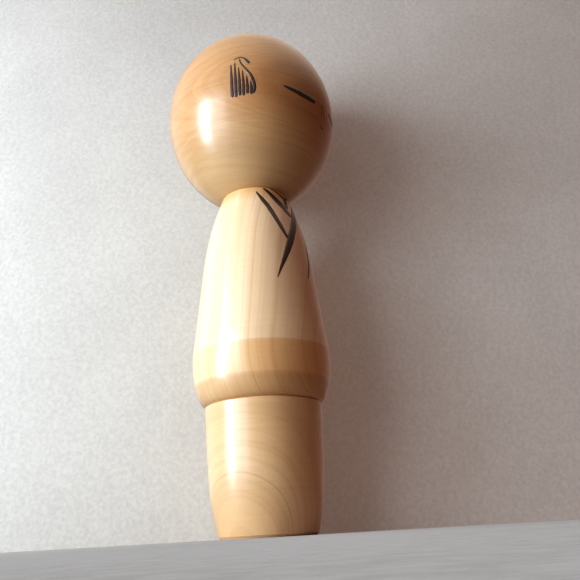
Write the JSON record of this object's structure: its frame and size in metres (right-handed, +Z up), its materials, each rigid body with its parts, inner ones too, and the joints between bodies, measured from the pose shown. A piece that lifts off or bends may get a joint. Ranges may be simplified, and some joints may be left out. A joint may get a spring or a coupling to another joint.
{
  "type": "kokeshi doll",
  "caption": "Turned wooden kokeshi doll: a round head that turns on its neck dowel, a long rounded torso and a tapered base, with a brushed face, side locks and collar.",
  "frame": {"origin": "centre of the base's flat foot", "axes": "+Z up the lathe axis to the crown, -Y the way the face looks, +X to the doll's left"},
  "size_m": [0.081, 0.081, 0.24],
  "materials": {
    "head_wood": "amber turned wood under a glossy clear wax or varnish",
    "torso_wood": "pale cream turned wood with lengthwise grain, glossy clear coat",
    "base_wood": "tan turned wood, glossy clear coat",
    "dowel_wood": "bare dowel wood"
  },
  "bodies": {
    "body": {"base": "base_wood", "waist_dowel": "dowel_wood", "torso": "torso_wood"},
    "head": {"head": "head_wood", "neck_dowel": "dowel_wood"}
  },
  "joints": [
    {"name": "head_turn", "type": "hinge", "parent": "body", "child": "head", "pos_m": [0, 0, 0.1519], "axis": [0, 0, 1], "continuous": true}
  ]
}
